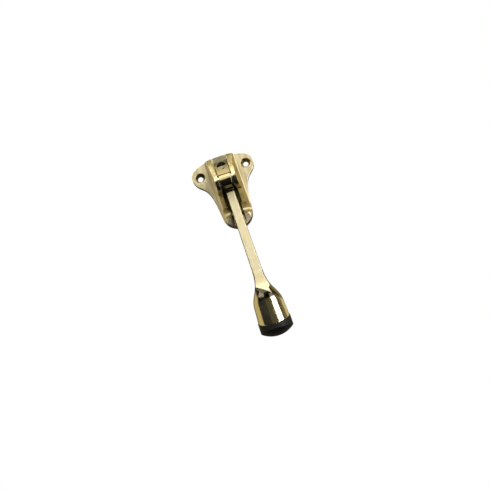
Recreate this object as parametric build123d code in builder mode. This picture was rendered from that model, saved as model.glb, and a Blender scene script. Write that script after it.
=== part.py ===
"""Kick-down door holder: cast brass bracket, swinging arm, sliding detent block and rubber tip.

Millimetres.  +Z is up as the holder hangs on a door, the door face is the plane y = 0 and the
holder stands out from it toward -Y.  The origin is midway between the two screw holes of the ears,
on the back face.  "h" below is the height above that back face, so y = -h.
"""
from build123d import *
from math import asin, atan2, cos, degrees, hypot, radians, sin, tan
import os

os.makedirs("parts", exist_ok=True)

# ---------------------------------------------------------------- driving sizes
SCREW_SPACING = 38.1          # ear screw holes, 1 1/2 in apart
SCREW_HOLE_R = 2.1            # clear of a No. 8 wood screw
SCREW_HEAD_R = 4.2
SCREW_HEAD_ANGLE = 82
PLATE_T = 3.2                 # ear plate
TOP_Z = 12.9                  # top edge of the bracket on the centre line
BOTTOM_Z = -50.6              # bottom edge, 2 1/2 in below the top
EAR_HALF = 25.4               # half of the 2 in width

PIVOT_Z = -13.5               # hinge axis
PIVOT_H = 10.0
PIN_R = 2.0
PIN_HALF = 8.7
CHEEK_R = 6.3                 # the cheeks are round about the hinge axis
CHEEK_LOW_Z = PIVOT_Z - CHEEK_R
MIDDLE_HALF = 12.2            # raised middle, at the foot of its flanks
MIDDLE_TOP_H = 4.5            # height of the raised middle at its top edge
CHANNEL_HALF = 5.6            # gap between the cheeks
CHANNEL_FLOOR = 2.4
POCKET_HALF = 6.2             # wider loading pocket below the hub
POCKET_FLOOR = 1.4
POCKET_END_Z = -32.0
STEP_Z = 3.0                  # raised floor above the detent block
STEP_H = 4.1
SEAT_R = 3.95                 # half-round seat of the spring
GROOVE_HALF = 4.85            # the arm nests in this groove

HUB_R = 6.5
HUB_HALF = 4.9
WASHER_T = 0.6
WASHER_R = 5.6
PLAY = 0.05
DETENT_DROP = 0.8             # how far the block drops onto a flat of the hub
LEAN = 4.0                    # the arm hangs this many degrees off the door
UP_ANGLE = 170.0              # arm angle off the door when it is stowed

BAR_FRONT = -1.5              # front face of the bar, measured from the hinge axis
BAR_BACK = -6.5
BAR_AXIS = (BAR_FRONT + BAR_BACK) / 2
BAR_ROOT_HALF = 3.4
BAR_NECK_HALF = 4.05
NECK_S = 80.0                 # distances along the arm from the hinge axis
ARM_LENGTH = 131.2            # about 5 1/8 in to the crown of the foot
RUBBER_T = 13.0               # on the axis, with the crown of the foot
FOOT_R = 19.5                 # round crown of the foot
CROWN_TILT = 12.0             # how far the crown faces back toward the door
RUBBER_R = 12.5               # close to 1 in across
BELL_R = 12.3                 # at the mouth
MOUTH_TILT = 32.0             # the mouth is cut this far off square
SEAM_S = ARM_LENGTH - RUBBER_T
SOCKET_R = 6.0
SOCKET_DEPTH = 13.0
SOCKET_END_S = SEAM_S - SOCKET_DEPTH

BLOCK_HALF = 5.35
BLOCK_BACK_H = 2.5
BLOCK_TOP_Z = 2.8
BLOCK_FACE_Z = PIVOT_Z + HUB_R + PLAY
RIB_HALF = 6.05
SPRING_R = 2.25
SPRING_WIRE_R = 0.4
SPRING_H = 3.7
SPRING_TOP_Z = 6.15
SPRING_BORE_R = 2.55
SPRING_BORE_END_Z = -3.2
SPRING_TURNS = 6.5

HINGE = Location((0, -PIVOT_H, PIVOT_Z))
ARM_REST = Location((0, -PIVOT_H, PIVOT_Z), (-LEAN, 0, 0))
BELL_FRONT = Plane.XZ.offset(BAR_AXIS)        # through the axis of the plumb bell


def side(h, z):
    """A point of the side view, as coordinates of the plane YZ."""
    return (-h, z)


def box_between(half_width, h0, h1, z0, z1, mode=Mode.ADD):
    """A block centred on x = 0, in the part that is being built."""
    with Locations((0, -(h0 + h1) / 2, (z0 + z1) / 2)):
        Box(2 * half_width, abs(h1 - h0), abs(z1 - z0), mode=mode)


def cut_side_view(points, half_width):
    """Cut a straight-sided side view through the part that is being built."""
    with BuildSketch(Plane.YZ) as view:
        with BuildLine():
            Polyline(*[side(h, z) for h, z in points], close=True)
        make_face()
    extrude(view.sketch, amount=half_width, both=True, mode=Mode.SUBTRACT)


# ---------------------------------------------------------------- bracket
with BuildSketch(Plane.XZ) as bracket_outline:
    with BuildLine():
        ThreePointArc((0, TOP_Z), (9.7, TOP_Z - 0.9), (19.0, 9.25))
        Spline(
            (19.0, 9.25), (23.6, 6.0), (EAR_HALF, 0.0), (22.9, -6.6), (18.2, -11.4),
            (15.4, -17.0), (13.6, -25.0), (12.6, -33.0),
            tangents=((0.92, -0.39), (-0.08, -1.0)), tangent_scalars=(1, 0.5),
        )
        Spline(
            (12.6, -33.0), (11.7, -40.8), (8.9, -46.6), (4.7, -49.7), (0, BOTTOM_Z),
            tangents=((-0.08, -1.0), (-1.0, 0.0)),
        )
        mirror(about=Plane.YZ)
    make_face()


SLOPE_ANGLE = radians(35)     # where the slope of the raised middle meets the round cheeks
SLOPE_END = (PIVOT_H + CHEEK_R * cos(SLOPE_ANGLE), PIVOT_Z + CHEEK_R * sin(SLOPE_ANGLE))
CREST = (PIVOT_H + CHEEK_R * cos(0.3), PIVOT_Z - CHEEK_R * sin(0.3))

with BuildPart() as raised_middle:
    with BuildSketch(Plane.YZ):
        with BuildLine():
            Spline(
                side(MIDDLE_TOP_H - 0.15, 14), side(*SLOPE_END),
                tangents=((-0.1, -1.0), (-sin(SLOPE_ANGLE), -cos(SLOPE_ANGLE))),
            )
            ThreePointArc(side(*SLOPE_END), side(*CREST), side(PIVOT_H, CHEEK_LOW_Z))
            Line(side(PIVOT_H, CHEEK_LOW_Z), side(8.6, CHEEK_LOW_Z))
            ThreePointArc(
                side(8.6, CHEEK_LOW_Z), side(7.4, CHEEK_LOW_Z - 0.6), side(6.9, CHEEK_LOW_Z - 2.1))
            Line(side(6.9, CHEEK_LOW_Z - 2.1), side(6.7, -32.4))
            ThreePointArc(side(6.7, -32.4), side(5.5, -35.2), side(6.8, -37.5))
            Line(side(6.8, -37.5), side(7.6, -38.0))
            ThreePointArc(side(7.6, -38.0), side(8.0, -38.7), side(7.7, -39.4))
            Polyline(
                side(7.7, -39.4), side(4.7, -52), side(0, -52), side(0, 14),
                side(MIDDLE_TOP_H - 0.15, 14))
        make_face()
    extrude(amount=MIDDLE_HALF + 1, both=True)
    with BuildSketch(Plane.XY.offset(BOTTOM_Z - 2)):
        with BuildLine():
            Polyline(
                (0, 0.1), (MIDDLE_HALF, 0.1), (MIDDLE_HALF, -PLATE_T), (9.7, -5.8), (8.5, -17.5),
                (0, -17.5))
            mirror(about=Plane.YZ)
        make_face()
    extrude(amount=70, mode=Mode.INTERSECT)


def cut_side_slope(sign, inner, outer, z0, z1):
    """Slope one side of the raised middle from an inner (x, h) down to an outer one."""
    (x0, h0), (x1, h1) = inner, outer
    with BuildSketch(Plane.XY.offset(z0)) as wedge:
        with BuildLine():
            Polyline(
                (sign * x0, -h0), (sign * x1, -h1), (sign * x1, -h0 - 5), (sign * x0, -h0 - 5),
                close=True)
        make_face()
    extrude(wedge.sketch, amount=z1 - z0, mode=Mode.SUBTRACT)


def cut_channel():
    """Gap between the cheeks, with the step, the spring seat and the rib grooves of the block."""
    box_between(CHANNEL_HALF, CHANNEL_FLOOR, 20, POCKET_END_Z + 4, STEP_Z, mode=Mode.SUBTRACT)
    with BuildSketch(Plane.XZ.offset(STEP_H)) as mouth:
        with BuildLine():
            Polyline(
                (-CHANNEL_HALF, STEP_Z - 0.01), (CHANNEL_HALF, STEP_Z - 0.01), (6.3, 14),
                (-6.3, 14), close=True)
        make_face()
    extrude(mouth.sketch, amount=15, mode=Mode.SUBTRACT)
    with Locations((0, -1, STEP_Z)):
        Cylinder(
            SEAT_R, 9, rotation=(90, 0, 0), align=(Align.CENTER, Align.CENTER, Align.MIN),
            mode=Mode.SUBTRACT)
    box_between(SPRING_BORE_R, 1.0, 5, SPRING_BORE_END_Z - 1.2, STEP_Z, mode=Mode.SUBTRACT)
    box_between(POCKET_HALF, 4.2, 5.9, POCKET_END_Z + 4, STEP_Z, mode=Mode.SUBTRACT)
    box_between(POCKET_HALF, POCKET_FLOOR, 20, POCKET_END_Z, CHEEK_LOW_Z, mode=Mode.SUBTRACT)


with BuildPart() as base_casting:
    box_between(EAR_HALF + 2, 0, PLATE_T, BOTTOM_Z - 1, TOP_Z + 1)
    add(raised_middle.part)
    extrude(bracket_outline.sketch, amount=20, mode=Mode.INTERSECT)
    cut_channel()
    cut_side_view([(4.1, -30), (5.3, -44), (5.7, -54), (20, -54), (20, -30)], GROOVE_HALF)
    for sign in (-1, 1):
        cut_side_slope(sign, (POCKET_HALF, 6.9), (14, 5.2), -36.9, CHEEK_LOW_Z - 0.3)
        cut_side_slope(sign, (GROOVE_HALF, 8.1), (12.6, 5.4), BOTTOM_Z - 1, -36.9)
    with BuildSketch(Plane.YZ):
        with Locations(side(PIVOT_H, PIVOT_Z)):
            Circle(PIN_R)
    extrude(amount=14, both=True, mode=Mode.SUBTRACT)
    with Locations(Plane.XZ.offset(PLATE_T)):
        with GridLocations(SCREW_SPACING, 1, 2, 1):
            CounterSinkHole(SCREW_HOLE_R, SCREW_HEAD_R, counter_sink_angle=SCREW_HEAD_ANGLE)
base_casting.part.label = "base_casting"
export_step(base_casting.part, "parts/base_casting.step")


# ---------------------------------------------------------------- arm, drawn plumb below (0, 0, 0)
def cut_below_mouth(distance, mode=Mode.SUBTRACT):
    """Half-space beyond the tilted mouth, which crosses the bell axis at that distance."""
    with Locations(Location((0, -BAR_AXIS, -distance), (MOUTH_TILT, 0, 0))):
        Box(120, 120, 80, align=(Align.CENTER, Align.CENTER, Align.MAX), mode=mode)


def bell_rod(radius, s0, s1, mode=Mode.ADD):
    """A cylinder on the axis of the bell between two distances along the arm."""
    with Locations((0, -BAR_AXIS, -s1)):
        Cylinder(radius, s1 - s0, align=(Align.CENTER, Align.CENTER, Align.MIN), mode=mode)


with BuildPart() as bar:
    with BuildSketch(Plane.XZ.offset(BAR_BACK)):
        with BuildLine():
            Polyline(
                (0, -1), (BAR_ROOT_HALF, -1), (BAR_NECK_HALF, -NECK_S - 9), (0, -NECK_S - 9))
            mirror(about=Plane.YZ)
        make_face()
    extrude(amount=BAR_FRONT - BAR_BACK)
    fillet(bar.edges().filter_by(lambda edge: edge.length > NECK_S), radius=0.7)

with BuildPart() as bell:
    with BuildSketch(BELL_FRONT):
        with BuildLine():
            wall = Spline(
                (4.1, 2 - NECK_S), (4.6, -NECK_S - 4.5), (5.7, -NECK_S - 9.3),
                (7.55, -NECK_S - 14), (9.75, -NECK_S - 18.7), (11.2, -NECK_S - 23.5),
                (11.6, -NECK_S - 28.5), (12.0, -NECK_S - 36), (BELL_R + 0.15, -ARM_LENGTH - 6))
            Polyline(wall @ 1, (0, -ARM_LENGTH - 6), (0, 2 - NECK_S), wall @ 0)
        make_face()
    revolve(axis=Axis((0, -BAR_AXIS, 0), (0, 0, 1)))
    with BuildSketch(Plane.YZ):
        with BuildLine():
            flat = Spline(
                (-BAR_AXIS + 2.45, 2 - NECK_S), (-BAR_AXIS + 2.55, -NECK_S - 5),
                (-BAR_AXIS + 3.0, -NECK_S - 9.5), (-BAR_AXIS + 5.0, -NECK_S - 13.2),
                (-BAR_AXIS + 8.4, -NECK_S - 16.3), (-BAR_AXIS + 12.5, -NECK_S - 19.5))
            Line((-BAR_AXIS, 2 - NECK_S), flat @ 0)
            Polyline(flat @ 1, (25, -ARM_LENGTH - 8), (-BAR_AXIS, -ARM_LENGTH - 8))
            mirror(about=Plane.YZ.offset(-BAR_AXIS))
        make_face()
    extrude(amount=20, both=True, mode=Mode.INTERSECT)
    cut_below_mouth(SEAM_S)


def cut_detent(angle):
    """Cut the hub flat that faces the block when the arm stands at that angle."""
    with Locations(Location((0, 0, 0), (angle, 0, 0))):
        with Locations((0, 0, HUB_R - DETENT_DROP)):
            Box(40, 40, 20, align=(Align.CENTER, Align.CENTER, Align.MIN), mode=Mode.SUBTRACT)


def cut_hub_side(sign):
    """Slope one side of the hub, so that it narrows down to the bar."""
    slim = BAR_ROOT_HALF + 0.1
    with BuildSketch(Plane.XZ.offset(-10)) as wedge:
        with BuildLine():
            Polyline(
                (sign * HUB_HALF, 0.5), (sign * slim, -HUB_R - 0.2), (sign * slim, -HUB_R - 6),
                (sign * (HUB_HALF + 4), -HUB_R - 6), (sign * (HUB_HALF + 4), 0.5), close=True)
        make_face()
    extrude(wedge.sketch, amount=20, mode=Mode.SUBTRACT)


with BuildPart() as hub:
    with BuildSketch(Plane.YZ):
        Circle(HUB_R)
    extrude(amount=HUB_HALF, both=True)
    chamfer(hub.edges().filter_by(GeomType.CIRCLE), length=0.45)
    cut_detent(LEAN)
    cut_detent(UP_ANGLE)
    for sign in (-1, 1):
        cut_hub_side(sign)

with BuildPart() as lever_arm:
    with Locations(ARM_REST):
        add([bell.part, bar.part, hub.part])
        with Locations((0, -BAR_AXIS, -SOCKET_END_S)):
            Cylinder(
                SOCKET_R, 40, align=(Align.CENTER, Align.CENTER, Align.MAX), mode=Mode.SUBTRACT)
        Cylinder(PIN_R + PLAY, 4 * HUB_HALF, rotation=(0, 90, 0), mode=Mode.SUBTRACT)
lever_arm.part.label = "lever_arm"
export_step(lever_arm.part, "parts/lever_arm.step")


# ---------------------------------------------------------------- rubber tip
with BuildPart() as foot:
    bell_rod(RUBBER_R, 100, 145)
    cut_below_mouth(SEAM_S, mode=Mode.INTERSECT)
    with Locations(Location((0, -BAR_AXIS, -ARM_LENGTH), (CROWN_TILT, 0, 0))):
        with Locations((0, 0, FOOT_R)):
            Sphere(FOOT_R, mode=Mode.INTERSECT)
    rim = foot.edges().filter_by(lambda edge: edge.length > 3 * RUBBER_R).sort_by(Axis.Z)[0]
    fillet(rim, radius=0.9)

with BuildPart() as rubber_tip:
    with Locations(ARM_REST):
        add(foot.part)
        with Locations((0, -BAR_AXIS, 4 - ARM_LENGTH)):
            Cylinder(
                SOCKET_R, ARM_LENGTH - 5 - SOCKET_END_S,
                align=(Align.CENTER, Align.CENTER, Align.MIN))
rubber_tip.part.label = "rubber_tip"
export_step(rubber_tip.part, "parts/rubber_tip.step")


# ---------------------------------------------------------------- hinge pin and washers
with BuildPart() as hinge_pin:
    with Locations(HINGE):
        Cylinder(PIN_R, 2 * PIN_HALF, rotation=(0, 90, 0))
    chamfer(hinge_pin.edges().filter_by(GeomType.CIRCLE), length=0.4)
hinge_pin.part.label = "hinge_pin"
export_step(hinge_pin.part, "parts/hinge_pin.step")

for name, sign in (("left", -1), ("right", 1)):
    with BuildPart() as washer:
        with Locations(HINGE):
            with Locations((sign * (HUB_HALF + PLAY + WASHER_T / 2), 0, 0)):
                Cylinder(WASHER_R, WASHER_T, rotation=(0, 90, 0))
                Cylinder(PIN_R + PLAY, 2 * WASHER_T, rotation=(0, 90, 0), mode=Mode.SUBTRACT)
    washer.part.label = "spacer_washer_" + name
    export_step(washer.part, "parts/spacer_washer_" + name + ".step")


# ---------------------------------------------------------------- detent block
with BuildPart() as detent_block:
    with BuildSketch(Plane.YZ):
        with BuildLine():
            face = Spline(
                side(6.5, BLOCK_TOP_Z), side(12.5, BLOCK_FACE_Z), tangents=((-0.3, -1), (-0.68, -0.73)))
            Polyline(
                face @ 1, side(BLOCK_BACK_H, BLOCK_FACE_Z), side(BLOCK_BACK_H, BLOCK_TOP_Z), face @ 0)
        make_face()
    extrude(amount=BLOCK_HALF, both=True)
    front = detent_block.edges().filter_by(lambda edge: edge.center().Y < -6)
    fillet(front, radius=0.3)
    box_between(RIB_HALF, 4.35, 5.75, BLOCK_FACE_Z, BLOCK_TOP_Z)
    with Locations((0, -SPRING_H, SPRING_BORE_END_Z)):
        Cylinder(
            SPRING_BORE_R, 8, align=(Align.CENTER, Align.CENTER, Align.MIN), mode=Mode.SUBTRACT)
    box_between(SPRING_BORE_R, 0, SPRING_H, SPRING_BORE_END_Z, 4, mode=Mode.SUBTRACT)
    with Locations(Location((1.0, -7, -0.3), (90, 0, 0))):
        Cylinder(0.6, 6, mode=Mode.SUBTRACT)
detent_block.part.label = "detent_block"
export_step(detent_block.part, "parts/detent_block.step")


# ---------------------------------------------------------------- spring
SPRING_Z0 = SPRING_BORE_END_Z + 0.05 + SPRING_WIRE_R
SPRING_Z1 = SPRING_TOP_Z - SPRING_WIRE_R

with BuildPart() as detent_spring:
    with BuildLine() as coil:
        Helix(
            pitch=(SPRING_Z1 - SPRING_Z0) / SPRING_TURNS,
            height=SPRING_Z1 - SPRING_Z0,
            radius=SPRING_R - SPRING_WIRE_R,
            center=(0, -SPRING_H, SPRING_Z0),
        )
    with BuildSketch(Plane(origin=coil.line @ 0, z_dir=coil.line % 0)):
        Circle(SPRING_WIRE_R)
    sweep()
detent_spring.part.label = "detent_spring"
export_step(detent_spring.part, "parts/detent_spring.step")
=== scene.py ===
"""Looks of the kick-down door holder: satin and polished brass, black rubber, dark spring wire.

Metres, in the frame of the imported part: +Z up the door, the back of the plate lies on the door at
y = 0 and the front faces -Y. z = 0 is the height of the screw holes.
"""
import math

import bpy
from mathutils import Matrix, Vector


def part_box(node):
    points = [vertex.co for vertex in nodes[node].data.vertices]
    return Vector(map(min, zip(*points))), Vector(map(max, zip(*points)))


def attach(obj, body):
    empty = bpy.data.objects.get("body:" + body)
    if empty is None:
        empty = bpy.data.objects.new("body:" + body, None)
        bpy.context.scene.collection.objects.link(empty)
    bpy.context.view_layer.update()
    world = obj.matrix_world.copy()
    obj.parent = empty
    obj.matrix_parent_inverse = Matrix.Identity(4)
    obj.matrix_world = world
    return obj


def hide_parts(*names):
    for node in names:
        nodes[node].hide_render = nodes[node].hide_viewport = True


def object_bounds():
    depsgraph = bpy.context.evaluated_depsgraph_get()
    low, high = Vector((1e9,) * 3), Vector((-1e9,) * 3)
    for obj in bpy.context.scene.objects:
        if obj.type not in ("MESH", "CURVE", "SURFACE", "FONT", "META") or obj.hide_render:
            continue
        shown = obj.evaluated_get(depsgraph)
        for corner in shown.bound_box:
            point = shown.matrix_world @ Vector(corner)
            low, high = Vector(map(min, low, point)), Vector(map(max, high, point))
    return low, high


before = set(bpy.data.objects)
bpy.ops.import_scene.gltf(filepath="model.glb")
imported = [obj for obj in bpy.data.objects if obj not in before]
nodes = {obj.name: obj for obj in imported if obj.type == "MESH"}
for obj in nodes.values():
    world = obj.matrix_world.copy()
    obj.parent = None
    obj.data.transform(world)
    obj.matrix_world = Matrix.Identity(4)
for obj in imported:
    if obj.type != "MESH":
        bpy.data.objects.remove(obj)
cad_low, cad_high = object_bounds()
scene = bpy.context.scene

MM = 0.001
pin_low, pin_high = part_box("hinge_pin")
HINGE_Z = (pin_low[2] + pin_high[2]) / 2


# ---------------------------------------------------------------- camera
CAMERA_DISTANCE = 0.7279
CAMERA_BELOW = 19.48          # degrees below the plate's normal
CAMERA_LEFT = -0.29           # degrees to the left of it
CAMERA_ROLL = -18.95          # degrees
CAMERA_LENS = 69.36           # mm
CAMERA_TARGET = Vector((-0.0025, -0.005, -0.0661))


def add_camera():
    """The camera in front and below, rolled so that the foot of the arm hangs to the right."""
    below = math.radians(CAMERA_BELOW)
    left = math.radians(CAMERA_LEFT)
    roll = math.radians(CAMERA_ROLL)
    away = Vector((
        -math.sin(left) * math.cos(below),
        -math.cos(left) * math.cos(below),
        -math.sin(below),
    ))
    right = (-away).cross(Vector((0, 0, 1))).normalized()
    up = right.cross(-away)
    rolled_right = right * math.cos(roll) + up * math.sin(roll)
    rolled_up = up * math.cos(roll) - right * math.sin(roll)
    data = bpy.data.cameras.new("photo_camera")
    data.lens = CAMERA_LENS
    data.sensor_width = 36.0
    data.clip_start = 0.01
    data.clip_end = 50.0
    camera = bpy.data.objects.new("photo_camera", data)
    turn = Matrix((rolled_right, rolled_up, away)).transposed().to_4x4()
    camera.matrix_world = Matrix.Translation(CAMERA_TARGET + away * CAMERA_DISTANCE) @ turn
    scene.collection.objects.link(camera)
    scene.camera = camera


# ---------------------------------------------------------------- node helpers
class Shader:
    """A material under construction, with short calls for the nodes that it uses."""

    def __init__(self, name):
        self.material = bpy.data.materials.new(name)
        self.material.use_nodes = True
        self.tree = self.material.node_tree
        self.tree.nodes.clear()
        self.output = self.tree.nodes.new("ShaderNodeOutputMaterial")
        self.bsdf = self.tree.nodes.new("ShaderNodeBsdfPrincipled")
        self.join(self.bsdf.outputs["BSDF"], self.output.inputs["Surface"])
        self.coords = self.tree.nodes.new("ShaderNodeTexCoord")

    def join(self, source, target):
        """Link an output to an input."""
        self.tree.links.new(source, target)

    def put(self, value, socket):
        """Link a socket, or set a plain number."""
        if isinstance(value, (int, float)):
            socket.default_value = value
        else:
            self.join(value, socket)

    def noise(self, scale, detail=3.0, stretch=(1, 1, 1), rough=0.5):
        """Noise in the object's own coordinates, 0..1; the scale is in cells per metre."""
        placed = self.tree.nodes.new("ShaderNodeMapping")
        placed.inputs["Scale"].default_value = stretch
        self.join(self.coords.outputs["Object"], placed.inputs["Vector"])
        noise = self.tree.nodes.new("ShaderNodeTexNoise")
        noise.inputs["Scale"].default_value = scale
        noise.inputs["Detail"].default_value = detail
        noise.inputs["Roughness"].default_value = rough
        self.join(placed.outputs["Vector"], noise.inputs["Vector"])
        return noise.outputs["Fac"]

    def ramp(self, value, low, high, start=0.0, end=1.0):
        """Smooth change from start to end while the value goes from low to high."""
        node = self.tree.nodes.new("ShaderNodeMapRange")
        node.interpolation_type = "SMOOTHSTEP"
        self.put(value, node.inputs["Value"])
        node.inputs["From Min"].default_value = low
        node.inputs["From Max"].default_value = high
        self.put(start, node.inputs["To Min"])
        self.put(end, node.inputs["To Max"])
        return node.outputs["Result"]

    def math(self, kind, a, b=0.0):
        """One Math node; a and b are plain numbers or sockets."""
        node = self.tree.nodes.new("ShaderNodeMath")
        node.operation = kind
        self.put(a, node.inputs[0])
        self.put(b, node.inputs[1])
        return node.outputs["Value"]

    def mix(self, factor, a, b):
        """Blend two colours, each a triple or a socket."""
        node = self.tree.nodes.new("ShaderNodeMix")
        node.data_type = "RGBA"
        self.put(factor, node.inputs["Factor"])
        for value, socket in ((a, node.inputs["A"]), (b, node.inputs["B"])):
            if isinstance(value, tuple):
                socket.default_value = (*value, 1.0)
            else:
                self.join(value, socket)
        return node.outputs["Result"]

    def mix_number(self, factor, a, b):
        """Blend two numbers, each plain or a socket."""
        return self.ramp(factor, 0.0, 1.0, a, b)

    def band(self, axis, low, high, blur):
        """1 where a coordinate lies between low and high, with soft ends."""
        above = self.ramp(self.place(axis), low - blur, low + blur)
        below = self.ramp(self.place(axis), high - blur, high + blur, 1.0, 0.0)
        return self.math("MULTIPLY", above, below)

    def place(self, axis):
        """One coordinate of the surface point, in metres."""
        split = self.tree.nodes.new("ShaderNodeSeparateXYZ")
        self.join(self.coords.outputs["Object"], split.inputs["Vector"])
        return split.outputs[axis]

    def bump(self, height, distance, strength=1.0):
        """Roughen the surface by a height of 0..1 times the distance."""
        node = self.tree.nodes.new("ShaderNodeBump")
        node.inputs["Strength"].default_value = strength
        node.inputs["Distance"].default_value = distance
        self.join(height, node.inputs["Height"])
        self.join(node.outputs["Normal"], self.bsdf.inputs["Normal"])


# ---------------------------------------------------------------- materials
BRACKET_BRASS = (0.88, 0.79, 0.54)
ARM_BRASS = (0.95, 0.87, 0.62)
# brown brass of the lower middle and the block; on the right flank it is painted shade
CAST_AND_SHADE_BRASS = (0.44, 0.35, 0.14)
TAN_BRASS = (0.66, 0.54, 0.28)
OLIVE_BRASS = (0.22, 0.19, 0.10)
# dark brass that stands in for painted shade, on the cheek fronts below the hinge and on the hub
SHADE_BRASS = (0.20, 0.185, 0.125)
# near-black painted shade: pockets, creases, spring seat, channel walls, downward walls near the
# door, hollow of the flare
PAINTED_SHADE = (0.02, 0.017, 0.01)
HOLE_X = 19.05 * MM                  # screw holes of the ears, at z = 0
SEAT_Z = 3 * MM                      # centre of the spring seat
CHANNEL_HALF = 6.9 * MM              # channel down the middle of the bracket
FLANK_FROM = 7.4 * MM                # flanks of the raised middle start outside this
MIDDLE_Y = -3.85 * MM                # the raised middle stands out beyond this
DARK_Y = -12.55 * MM                 # below the hinge, the cheeks are painted dark beyond this, as painted shade
RIDGE_Z = -38.6 * MM                 # ridge across the lower end, painted pale as a painted highlight
LIP_Z = -42.1 * MM                   # the plate has a paler lip below this
BROW_Z = 8 * MM                      # the floor of the channel is painted paler above this, as painted light
SCREW_R = 4.4 * MM                   # countersinks
SEAT_R = 4.1 * MM                    # spring seat


def recess(shader, reach, open_sky=0.8, closed_sky=0.4):
    """1 in pockets and corners narrower than the reach, 0 on open faces."""
    hollow = shader.tree.nodes.new("ShaderNodeAmbientOcclusion")
    hollow.samples = 8
    hollow.only_local = True
    hollow.inputs["Distance"].default_value = reach
    return shader.ramp(hollow.outputs["AO"], closed_sky, open_sky, 1.0, 0.0)


def brass_with_recess_shade(shader, color, rough, shade_amount, bump, seams=0.5):
    """Brass with the given colour and roughness, painted shade in its pockets and creases and a
    slightly wavy skin.
    """
    bsdf = shader.bsdf
    bsdf.inputs["Metallic"].default_value = 1.0
    # Pockets and creases found by ambient occlusion are painted near-black: painted shade.
    crease = shader.math("MULTIPLY", recess(shader, 1.6 * MM, 0.72, 0.45), seams)
    deep = recess(shader, 9 * MM, 0.58, 0.25)
    recess_shade = shader.math("MULTIPLY", shader.math("MAXIMUM", deep, crease), shade_amount)
    shader.join(shader.mix(recess_shade, color, PAINTED_SHADE), bsdf.inputs["Base Color"])
    patchy = shader.ramp(shader.noise(90.0, 5.0), 0.35, 0.65, 0.9, 1.15)
    shader.join(shader.math("MULTIPLY", rough, patchy), bsdf.inputs["Roughness"])
    fine = shader.noise(2400.0, 2.0, (1, 1, 0.35))
    waves = shader.noise(260.0, 2.0)
    shader.bump(shader.math("ADD", shader.math("MULTIPLY", fine, 0.2), waves), 0.02 * MM, bump)
    return shader.material


def facing(shader, axis):
    """One coordinate of the surface normal."""
    split = shader.tree.nodes.new("ShaderNodeSeparateXYZ")
    shader.join(shader.coords.outputs["Normal"], split.inputs["Vector"])
    return split.outputs[axis]


def not_front(shader):
    """0 on faces that look straight out of the door, 1 on edges, sides and slopes."""
    return shader.ramp(facing(shader, "Y"), -0.965, -0.90)


def within(shader, side, up, radius, blur):
    """1 inside a circle about the zero of both coordinates, with a soft edge."""
    across = shader.math("MULTIPLY", side, side)
    square = shader.math("ADD", across, shader.math("MULTIPLY", up, up))
    return shader.ramp(shader.math("SQRT", square), radius - blur, radius + blur, 1.0, 0.0)


def near_screws(shader):
    """1 inside the countersinks of the two ears."""
    side = shader.math("SUBTRACT", shader.math("ABSOLUTE", shader.place("X")), HOLE_X)
    near = within(shader, side, shader.place("Z"), SCREW_R, 0.2 * MM)
    off_back = shader.ramp(shader.place("Y"), -0.6 * MM, -0.2 * MM, 1.0, 0.0)
    return shader.math("MULTIPLY", near, off_back)


def spring_seat(shader):
    """1 in the half-round seat above the block."""
    up = shader.math("SUBTRACT", shader.place("Z"), SEAT_Z)
    inside = within(shader, shader.place("X"), up, SEAT_R, 0.15 * MM)
    return shader.math("MULTIPLY", inside, shader.band("Y", -4.2 * MM, -0.6 * MM, 0.2 * MM))


def channel_walls(shader):
    """1 on the upright walls of the channel down the middle of the bracket."""
    upright = shader.ramp(shader.math("ABSOLUTE", facing(shader, "X")), 0.4, 0.7)
    return shader.math("MULTIPLY", upright, shader.band("X", -CHANNEL_HALF, CHANNEL_HALF, 0.2 * MM))


def product(shader, *factors):
    """All the factors multiplied."""
    result = factors[0]
    for factor in factors[1:]:
        result = shader.math("MULTIPLY", result, factor)
    return result


def soft_step(shader, value, middle, half):
    """0 below the middle value and 1 above it, changing over half on each side."""
    return shader.ramp(value, middle - half, middle + half)


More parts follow.
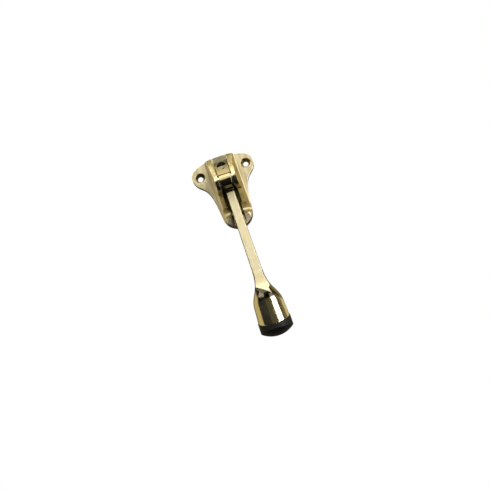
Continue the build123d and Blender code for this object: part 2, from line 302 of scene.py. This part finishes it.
def bracket_brass():
    """Satin ears and a browner streaked middle that pales downward; the cheek fronts below the
    hinge, the dark lower rim, the countersinks, the spring seat, the channel walls and the right
    flank are painted dark as painted shade, and the left flank, the ridge and the upper channel
    floor are painted pale as painted light.
    """
    shader = Shader("bracket_brass_with_painted_light")
    across = shader.place("Y")
    up = shader.place("Z")
    sideways = facing(shader, "X")
    streaks = shader.ramp(shader.noise(420.0, 3.0, (1, 1, 0.12)), 0.42, 0.66)
    middle = shader.ramp(across, MIDDLE_Y - 0.45 * MM, MIDDLE_Y + 0.45 * MM, 1.0, 0.0)
    low = shader.ramp(up, -21 * MM, -19 * MM, 1.0, 0.0)
    ridge = product(
        shader,
        shader.band("Z", RIDGE_Z - 1 * MM, RIDGE_Z + 1 * MM, 0.3 * MM),
        shader.ramp(across, -2.4 * MM, -1.6 * MM, 1.0, 0.0))
    hinge = product(
        shader,
        shader.ramp(across, DARK_Y - 0.35 * MM, DARK_Y + 0.35 * MM, 1.0, 0.0),
        shader.ramp(up, HINGE_Z + 0.3 * MM, HINGE_Z + 1.5 * MM, 1.0, 0.0))
    rim = product(
        shader,
        shader.ramp(facing(shader, "Z"), -0.2, -0.08, 1.0, 0.0),
        shader.ramp(facing(shader, "Y"), -0.85, -0.6),
        soft_step(shader, across, -7.5 * MM, 0.5 * MM))
    lip = product(
        shader,
        shader.ramp(up, LIP_Z - 0.9 * MM, LIP_Z + 0.9 * MM, 1.0, 0.0),
        shader.ramp(across, -1.2 * MM, -0.6 * MM, 1.0, 0.0))
    flank = product(
        shader,
        middle,
        soft_step(shader, shader.math("ABSOLUTE", shader.place("X")), FLANK_FROM, 0.2 * MM),
        shader.ramp(shader.math("ABSOLUTE", sideways), 0.3, 0.5))
    # Left-facing flank painted pale as painted light, right-facing flank painted brown as painted
    # shade.
    left = shader.ramp(sideways, -0.3, 0.3, 1.0, 0.0)
    brow = product(
        shader,
        shader.band("X", -6.4 * MM, 6.4 * MM, 0.4 * MM),
        soft_step(shader, up, BROW_Z, 0.6 * MM))
    cream = shader.mix(shader.math("MULTIPLY", streaks, 0.8), BRACKET_BRASS, TAN_BRASS)
    tan = shader.mix(shader.ramp(up, -7 * MM, -1 * MM), TAN_BRASS, CAST_AND_SHADE_BRASS)
    tan = shader.mix(streaks, tan, OLIVE_BRASS)
    pale = shader.ramp(up, -11 * MM, -4 * MM, 1.0, 0.0)
    slope = shader.mix(pale, tan, shader.mix(0.6, cream, TAN_BRASS))
    ear = shader.mix(0.2, cream, BRACKET_BRASS)
    color = shader.mix(middle, ear, shader.mix(low, slope, CAST_AND_SHADE_BRASS))
    color = shader.mix(flank, color, shader.mix(left, CAST_AND_SHADE_BRASS, BRACKET_BRASS))
    # The upper floor of the channel is painted paler: painted light.
    color = shader.mix(shader.math("MULTIPLY", brow, 0.8), color, BRACKET_BRASS)
    color = shader.mix(lip, color, BRACKET_BRASS)
    # The countersinks are painted tan: painted shade.
    color = shader.mix(near_screws(shader), color, TAN_BRASS)
    # The ridge is painted pale: a painted highlight.
    color = shader.mix(ridge, color, BRACKET_BRASS)
    # The cheek fronts below the hinge are painted dark: painted shade.
    color = shader.mix(hinge, color, SHADE_BRASS)
    # Downward-facing walls near the door are painted near-black: painted shade.
    color = shader.mix(shader.math("MULTIPLY", rim, 0.85), color, PAINTED_SHADE)
    # The spring seat and the channel walls are painted near-black: painted shade.
    black = shader.math("MAXIMUM", spring_seat(shader), channel_walls(shader))
    color = shader.mix(black, color, PAINTED_SHADE)
    rough = shader.mix_number(middle, shader.ramp(not_front(shader), 0.0, 1.0, 0.68, 0.36), 0.42)
    rough = shader.mix_number(shader.math("MULTIPLY", middle, low), rough, 0.8)
    rough = shader.mix_number(lip, rough, 0.5)
    rough = shader.mix_number(ridge, rough, 0.75)
    rough = shader.mix_number(hinge, rough, 0.3)
    # Less occlusion shade in the countersinks, which are already painted tan as painted shade.
    shade_amount = shader.ramp(near_screws(shader), 0.0, 1.0, 0.95, 0.5)
    return brass_with_recess_shade(shader, color, rough, shade_amount, 0.3)


def arm_brass():
    """Satin bar, bright polished bell and edges, and a tan hub top; the bar's side faces are
    painted olive and the hub below its top painted dark, as painted shade.

    The satin face of the bar runs out on the flare along a slanting line, below which the hollow
    of the flare is painted near-black as painted shade.
    """
    shader = Shader("arm_brass_with_painted_shade")
    up = shader.place("Z")
    slant = shader.math("ADD", up, shader.place("X"))
    bell = shader.ramp(slant, HINGE_Z - 96.5 * MM, HINGE_Z - 95 * MM, 1.0, 0.0)
    sides = shader.ramp(shader.math("ABSOLUTE", facing(shader, "X")), 0.3, 0.5)
    hub = shader.band("Z", HINGE_Z - 8.3 * MM, HINGE_Z + 0.4 * MM, 0.5 * MM)
    top = shader.ramp(up, HINGE_Z - 0.1 * MM, HINGE_Z + 0.9 * MM)
    # Mask for the upward-facing hollow of the flare, which is painted near-black: painted shade.
    hollow = shader.math(
        "MULTIPLY",
        shader.ramp(facing(shader, "Z"), 0.1, 0.22),
        shader.band("X", -6.5 * MM, 6 * MM, 0.7 * MM))
    hollow = shader.math("MULTIPLY", hollow, bell)
    worked = shader.math("MAXIMUM", shader.math("MAXIMUM", bell, hub), sides)
    rough = shader.ramp(worked, 0.0, 1.0, 0.74, 0.15)
    rough = shader.mix_number(hub, rough, 0.16)
    rough = shader.mix_number(top, rough, 0.5)
    wear = shader.ramp(shader.noise(420.0, 4.0, (1, 1, 0.2)), 0.5, 0.9, 0.0, 0.5)
    color = shader.mix(wear, ARM_BRASS, TAN_BRASS)
    # The side faces of the bar are painted olive: painted shade.
    color = shader.mix(shader.math("SUBTRACT", sides, bell), color, OLIVE_BRASS)
    color = shader.mix(top, color, TAN_BRASS)
    # The hub below its top is painted dark: painted shade.
    color = shader.mix(hub, color, SHADE_BRASS)
    color = shader.mix(shader.math("MULTIPLY", hollow, 0.97), color, PAINTED_SHADE)
    return brass_with_recess_shade(shader, color, rough, 0.9, 0.05, 0.1)


def block_brass():
    """Rubbed block with dark streaks toward its top."""
    shader = Shader("block_brass_with_painted_shade")
    low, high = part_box("detent_block")
    pale = shader.ramp(shader.place("Z"), low[2], high[2] - 2 * MM, 1.0, 0.0)
    streaks = shader.ramp(shader.noise(500.0, 3.0, (1, 1, 0.15)), 0.4, 0.65)
    worn = shader.mix(shader.math("MULTIPLY", streaks, 0.6), OLIVE_BRASS, CAST_AND_SHADE_BRASS)
    color = shader.mix(pale, worn, CAST_AND_SHADE_BRASS)
    rough = shader.ramp(pale, 0.0, 1.0, 0.5, 0.55)
    return brass_with_recess_shade(shader, color, rough, 0.5, 0.1, 0.1)


def small_brass():
    """Turned brass of the pin and the spacer washers."""
    shader = Shader("small_brass_with_painted_shade")
    color = shader.mix(shader.noise(300.0, 3.0), ARM_BRASS, TAN_BRASS)
    rough = shader.ramp(shader.noise(500.0, 2.0), 0.3, 0.7, 0.2, 0.3)
    return brass_with_recess_shade(shader, color, rough, 0.5, 0.1)


def rubber(name):
    """Black moulded rubber with a faint skin texture."""
    shader = Shader(name)
    skin = shader.noise(1500.0, 4.0)
    smear = shader.noise(140.0, 3.0)
    shade = shader.mix(shader.ramp(smear, 0.4, 0.7), (0.004, 0.0045, 0.004), (0.008, 0.008, 0.006))
    shader.join(shade, shader.bsdf.inputs["Base Color"])
    shader.bsdf.inputs["Specular IOR Level"].default_value = 0.25
    shader.join(shader.ramp(smear, 0.3, 0.7, 0.5, 0.65), shader.bsdf.inputs["Roughness"])
    shader.bump(skin, 0.04 * MM, 0.5)
    return shader.material


def steel(name):
    """Dark drawn spring wire."""
    shader = Shader(name)
    shader.bsdf.inputs["Metallic"].default_value = 1.0
    cloud = shader.noise(500.0, 3.0)
    shade = shader.mix(cloud, (0.02, 0.019, 0.018), (0.05, 0.048, 0.045))
    shader.join(shade, shader.bsdf.inputs["Base Color"])
    shader.join(shader.ramp(cloud, 0.2, 0.8, 0.25, 0.45), shader.bsdf.inputs["Roughness"])
    return shader.material


def dress(thing, material):
    """Give an object one material."""
    thing.data.materials.clear()
    thing.data.materials.append(material)


# ---------------------------------------------------------------- castings
def casting(node, body, voxel, rounds, material):
    """A CAD casting with its sharp edges worn round, as a piece that replaces the node."""
    mesh = nodes[node].data.copy()
    piece = bpy.data.objects.new(node + "_cast", mesh)
    scene.collection.objects.link(piece)
    weld = piece.modifiers.new("weld", "WELD")
    weld.merge_threshold = 0.001 * MM
    skin = piece.modifiers.new("skin", "REMESH")
    skin.mode = "VOXEL"
    skin.voxel_size = voxel
    skin.use_smooth_shade = True
    wear = piece.modifiers.new("wear", "SMOOTH")
    wear.factor = 0.5
    wear.iterations = rounds
    dress(piece, material)
    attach(piece, body)
    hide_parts(node)
    return piece


# ---------------------------------------------------------------- studio
STUDIO_R = 1.2
STUDIO_CENTRE = Vector((0, -0.01, -0.06))
WHITE = (1.0, 0.99, 0.97)
WARM = (1.0, 0.85, 0.42)


def direction(azimuth, elevation):
    """Unit vector; azimuth 0 is straight out of the door, positive to the right."""
    a = math.radians(azimuth)
    e = math.radians(elevation)
    return Vector((math.sin(a) * math.cos(e), -math.cos(a) * math.cos(e), math.sin(e)))


def emitter(name, color, strength):
    """An even light-giving material."""
    material = bpy.data.materials.new(name)
    material.use_nodes = True
    tree = material.node_tree
    tree.nodes.clear()
    output = tree.nodes.new("ShaderNodeOutputMaterial")
    glow = tree.nodes.new("ShaderNodeEmission")
    glow.inputs["Color"].default_value = (*color, 1.0)
    glow.inputs["Strength"].default_value = strength
    tree.links.new(glow.outputs["Emission"], output.inputs["Surface"])
    return material


def panel(name, azimuths, elevations, color, strength):
    """A curved light panel on the studio sphere that fills a range of directions."""
    steps = 8
    points = []
    for i in range(steps + 1):
        azimuth = azimuths[0] + (azimuths[1] - azimuths[0]) * i / steps
        for j in range(steps + 1):
            elevation = elevations[0] + (elevations[1] - elevations[0]) * j / steps
            points.append(STUDIO_CENTRE + direction(azimuth, elevation) * STUDIO_R)
    row = steps + 1
    faces = [(i * row + j, i * row + j + 1, (i + 1) * row + j + 1, (i + 1) * row + j)
             for i in range(steps) for j in range(steps)]
    mesh = bpy.data.meshes.new(name)
    mesh.from_pydata(points, [], faces)
    mesh.materials.append(emitter(name, color, strength))
    thing = bpy.data.objects.new(name, mesh)
    thing.visible_camera = False
    scene.collection.objects.link(thing)


def add_world():
    """White paper behind the object; a dim room wherever there is no panel."""
    world = bpy.data.worlds.new("studio")
    scene.world = world
    world.use_nodes = True
    tree = world.node_tree
    tree.nodes.clear()
    room = tree.nodes.new("ShaderNodeBackground")
    room.inputs["Color"].default_value = (1.0, 0.95, 0.85, 1.0)
    room.inputs["Strength"].default_value = 0.018
    paper = tree.nodes.new("ShaderNodeBackground")
    paper.inputs["Color"].default_value = (1, 1, 1, 1)
    rays = tree.nodes.new("ShaderNodeLightPath")
    pick = tree.nodes.new("ShaderNodeMixShader")
    output = tree.nodes.new("ShaderNodeOutputWorld")
    tree.links.new(rays.outputs["Is Camera Ray"], pick.inputs["Fac"])
    tree.links.new(room.outputs["Background"], pick.inputs[1])
    tree.links.new(paper.outputs["Background"], pick.inputs[2])
    tree.links.new(pick.outputs["Shader"], output.inputs["Surface"])


def add_floor():
    """Plain pale floor, well below the object."""
    half = 12.0
    drop = cad_low[2] - 0.45
    mesh = bpy.data.meshes.new("floor")
    mesh.from_pydata(
        [(-half, -half, drop), (half, -half, drop), (half, half, drop), (-half, half, drop)],
        [], [(0, 1, 2, 3)])
    shader = Shader("floor_paper")
    grain = shader.noise(3.0, 2.0)
    shade = shader.mix(grain, (0.80, 0.79, 0.77), (0.84, 0.83, 0.81))
    shader.join(shade, shader.bsdf.inputs["Base Color"])
    shader.bsdf.inputs["Roughness"].default_value = 0.8
    shader.bsdf.inputs["Emission Color"].default_value = (0.97, 0.96, 0.94, 1.0)
    shader.bsdf.inputs["Emission Strength"].default_value = 0.8
    mesh.materials.append(shader.material)
    floor = bpy.data.objects.new("floor", mesh)
    floor.visible_glossy = False
    floor.visible_diffuse = False
    scene.collection.objects.link(floor)


def add_studio():
    """Light panels all round, as azimuths and elevations in degrees, colour and strength."""
    panel("panel_front", (-17, 23), (-8, 38), WARM, 0.07)
    panel("panel_right", (33, 67), (-35, 50), WHITE, 4.3)
    panel("panel_left_high", (-84, -20), (45, 63), WHITE, 6.5)
    panel("panel_ceiling", (-88, 88), (64, 90), WHITE, 3.0)
    panel("panel_top_back", (90, 270), (58, 88), WHITE, 1.6)
    panel("panel_behind", (150, 210), (-50, 50), WHITE, 0.25)
    panel("panel_left_room", (-140, -84), (-50, 50), WARM, 0.5)
    panel("panel_right_room", (86, 112), (-50, 50), WARM, 0.16)
    panel("panel_right_back", (112, 150), (-50, 50), WARM, 0.6)


add_camera()
turned = small_brass()
casting("base_casting", "bracket", 0.25 * MM, 3, bracket_brass())
casting("lever_arm", "arm", 0.3 * MM, 6, arm_brass())
casting("detent_block", "block", 0.15 * MM, 3, block_brass())
dress(nodes["hinge_pin"], turned)
dress(nodes["spacer_washer_left"], turned)
dress(nodes["spacer_washer_right"], turned)
dress(nodes["detent_spring"], steel("spring_finish"))
dress(nodes["rubber_tip"], rubber("rubber_finish"))
add_world()
add_floor()
add_studio()
scene.view_settings.view_transform = "Standard"
